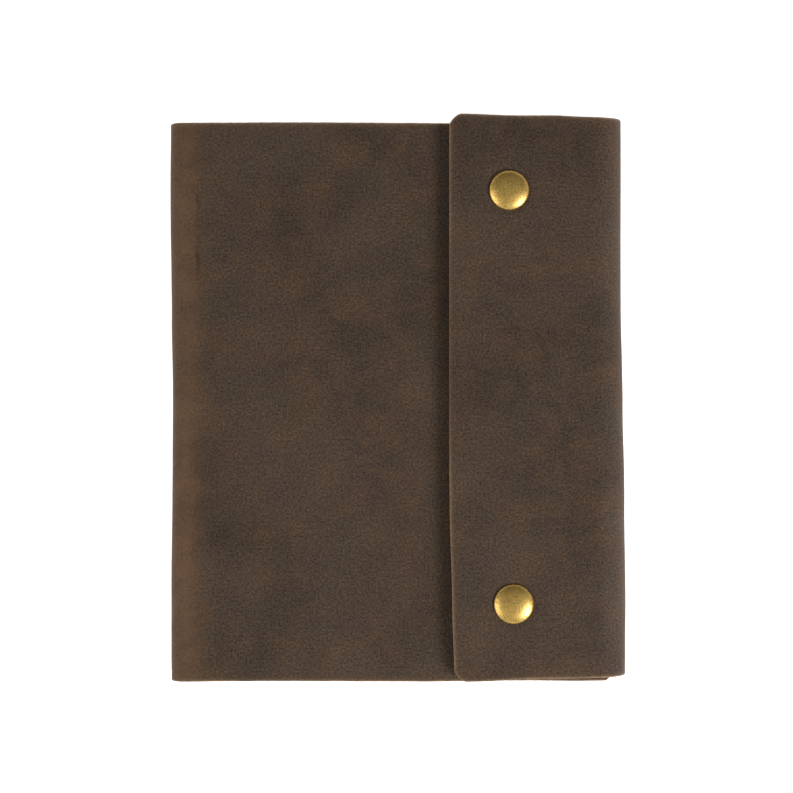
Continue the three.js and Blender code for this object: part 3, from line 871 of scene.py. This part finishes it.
leaves = {
    "width": 148 * mm,
    "height": 210 * mm,
    "block": 3.6 * mm,
    "count": 24,
    "sheet": 0.115 * mm,
    "holeRadius": 3.0 * mm,
    "holeIn": 6.0 * mm,          # from the leaf's edge to the middle of its holes
    "ringClear": 0.65 * mm,      # from the middle of the rings to the leaf's edge
    "tilt": math.radians(2.05),
    "scatter": 0.16 * mm,
    "gap": 0.15 * mm,            # from each block to the level between the two
}


def oneLeaf():
    # a flat sheet as a grid, except that each hole's square is a ring of quads from circle to square.
    # gives the points (x from the leaf's edge, y), the quads, each hole's loop and the outer loop
    cell, sides = 2 * leaves["holeIn"], 6
    halfTall = leaves["height"] / 2
    rowsY = []
    for y in sorted(ringRows):
        rowsY += [y - cell / 2 - 1e-9, y + cell / 2 + 1e-9]
    bands = np.concatenate([[-halfTall], rowsY, [halfTall]])
    y = np.concatenate([np.linspace(a, b, (sides if k % 2 else 2) + 1)[:-1]
                        for k, (a, b) in enumerate(zip(bands[:-1], bands[1:]))] + [[halfTall]])
    x = np.concatenate([np.linspace(0, cell, sides + 1), np.linspace(cell, leaves["width"], 9)[1:]])
    gx, gy = np.meshgrid(x, y, indexing="xy")
    points = np.stack([gx, gy], -1).reshape(-1, 2)
    quads = gridFaces(len(y), len(x))
    middle = points[quads].mean(1)
    nearest = np.abs(middle[:, 1][:, None] - np.array(ringRows)).min(1)
    quads = quads[~((middle[:, 0] < cell) & (nearest < cell / 2))]
    loops, allPoints, allQuads = [], [points], [quads]
    count = len(points)
    for ringY in ringRows:
        startRow = np.searchsorted(y, ringY - cell / 2 - 1e-6)
        low, high, span = startRow * len(x), (startRow + sides) * len(x), np.arange(sides)
        square = np.concatenate([low + span, low + sides + span * len(x),
                                 high + sides - span, high - span * len(x)])
        corner = points[square] - [leaves["holeIn"], ringY]
        angle = np.arctan2(corner[:, 1], corner[:, 0])
        circle = leaves["holeRadius"] * np.stack([np.cos(angle), np.sin(angle)], -1)
        circle = circle + [leaves["holeIn"], ringY]
        hole = np.arange(len(square)) + count
        allPoints.append(circle)
        allQuads.append(np.stack([square, np.roll(square, -1), np.roll(hole, -1), hole], -1))
        loops.append(hole)
        count += len(square)
    rows, columns = len(y), len(x)
    border = np.concatenate([np.arange(columns - 1), np.arange(rows - 1) * columns + columns - 1,
                             (rows * columns - 1) - np.arange(columns - 1),
                             (rows - 1 - np.arange(rows - 1)) * columns])
    return np.concatenate(allPoints), np.concatenate(allQuads), loops, border


def sheetWalls(loop, above):
    # a strip of faces between a loop of points under the sheet and the same loop on top of it
    after = np.roll(loop, -1)
    return np.stack([loop, after, after + above, loop + above], -1)


def leafBlock(name, node, seed, under):
    # every leaf is the same closed sheet, a little shifted, stacked and leaned down from the rings
    flat, quads, holes, border = oneLeaf()
    count, sheet = leaves["count"], leaves["sheet"]
    rng = np.random.default_rng(seed)
    shift = rng.normal(0, leaves["scatter"] / 2, (count, 2))
    shift[:, 0] = np.abs(shift[:, 0])
    pitch = leaves["block"] / count
    level = np.arange(count) * pitch - (leaves["block"] if under else 0) + (pitch - sheet) / 2
    lift = 0.10 * mm * softNoise(seed, flat[:, 0], flat[:, 1], 60 * mm)
    size = len(flat)
    x = flat[None, :, 0] + shift[:, :1]
    y = flat[None, :, 1] + shift[:, 1:]
    bottom = np.stack([x, y, level[:, None] + lift], -1)
    top = bottom + [0, 0, sheet]
    points = np.concatenate([bottom, top], 1).reshape(-1, 3)
    holeWalls = [sheetWalls(loop, size)[:, [1, 0, 3, 2]] for loop in holes]
    oneSheet = np.concatenate([quads[:, ::-1], quads + size, sheetWalls(border, size), *holeWalls])
    allQuads = (oneSheet[None] + (np.arange(count) * 2 * size)[:, None, None]).reshape(-1, 4)
    px, tilt = points[:, 0] + leaves["ringClear"], leaves["tilt"]
    pz = points[:, 2] + leaves["gap"] * (-1 if under else 1)
    placed = np.stack([ringX + px * math.cos(tilt) + pz * math.sin(tilt), points[:, 1],
                       ringZ - px * math.sin(tilt) + pz * math.cos(tilt)], -1)
    piece = buildMesh(name, placed, allQuads, [paper], sharpAngle=30)
    return standFor(piece, node)


leafBlock("frontLeaves", "front_leaves", 21, under=False)
leafBlock("rearLeaves", "rear_leaves", 22, under=True)
print("leaves made")

studio = {
    "floorRadius": 4.0,
    "floorWhite": 0.86,
    "floorGlow": 0.80,
    "keyPlace": (0.82, -0.55, 0.72),
    "keySize": 0.50,
    "keyPower": 11.5,
    "fillPlace": (-0.95, -0.40, 0.62),
    "fillSize": 0.90,
    "fillPower": 5.0,
    "nearStrength": 0.64,
    "farStrength": 0.08,
    "horizonStrength": 1.1,
    "horizonBand": (0.16, 0.26),      # sines of the heights between which the room dims
}


def studioFloor():
    # a wide disc at the level the cover lies on, white and lit from within
    angle = np.linspace(0, 2 * math.pi, 64, endpoint=False)
    radius, level = studio["floorRadius"], np.full(64, cadLow[2] - 0.05 * mm)
    points = np.stack([radius * np.cos(angle), radius * np.sin(angle), level], -1)
    mesh = bpy.data.meshes.new("studioFloor")
    mesh.from_pydata(points.tolist(), [], [list(range(64))])
    material, tree, shader = newMaterial("paleFloor")
    shader.inputs["Base Color"].default_value = (studio["floorWhite"],) * 3 + (1,)
    shader.inputs["Roughness"].default_value = 0.9
    shader.inputs["Specular IOR Level"].default_value = 0.0
    shader.inputs["Emission Color"].default_value = (1, 1, 1, 1)
    shader.inputs["Emission Strength"].default_value = studio["floorGlow"]
    mesh.materials.append(material)
    floor = linked("studioFloor", mesh)


def softLight(name, place, target, size, power):
    # a square soft box that faces its target
    data = bpy.data.lights.new(name, "AREA")
    data.shape, data.size, data.energy = "SQUARE", size, power
    light = linked(name, data)
    light.location = place
    towards = np.array(target) - np.array(place)
    flatReach = math.hypot(towards[0], towards[1])
    heading = math.atan2(towards[1], towards[0])
    light.rotation_euler = (math.atan2(flatReach, -towards[2]), 0, heading - quarterTurn)


studioFloor()
middle = (0, 0, 0.02)
softLight("keyLight", studio["keyPlace"], middle, studio["keySize"], studio["keyPower"])
softLight("fillLight", studio["fillPlace"], middle, studio["fillSize"], studio["fillPower"])
# the room is white low down, where it meets the floor, and dims overhead towards the far side
world = bpy.data.worlds.new("paleRoom")
world.use_nodes = True
tree = world.node_tree
background = tree.nodes["Background"]
background.inputs["Color"].default_value = (1, 1, 1, 1)
direction = addNode(tree, "ShaderNodeTexCoord", {}).outputs["Generated"]
axes = addNode(tree, "ShaderNodeSeparateXYZ", {"Vector": direction}).outputs
overhead = rampOf(tree, axes["Y"], -1.0, 1.0, studio["nearStrength"], studio["farStrength"])
low, high = studio["horizonBand"]
tree.links.new(rampOf(tree, axes["Z"], low, high, studio["horizonStrength"], overhead),
               background.inputs["Strength"])
bpy.context.scene.world = world
bpy.context.scene.view_settings.view_transform = "Standard"

cameraPlace = {"x": -0.5 * mm, "y": 0.88 * mm, "height": 0.80, "lens": 91.45}
cameraData = bpy.data.cameras.new("camera")
cameraData.lens, cameraData.sensor_width = cameraPlace["lens"], 36
cameraData.clip_start, cameraData.clip_end = 0.01, 20
camera = linked("camera", cameraData)
camera.location = (cameraPlace["x"], cameraPlace["y"], cameraPlace["height"])
bpy.context.scene.camera = camera
print("studio made")
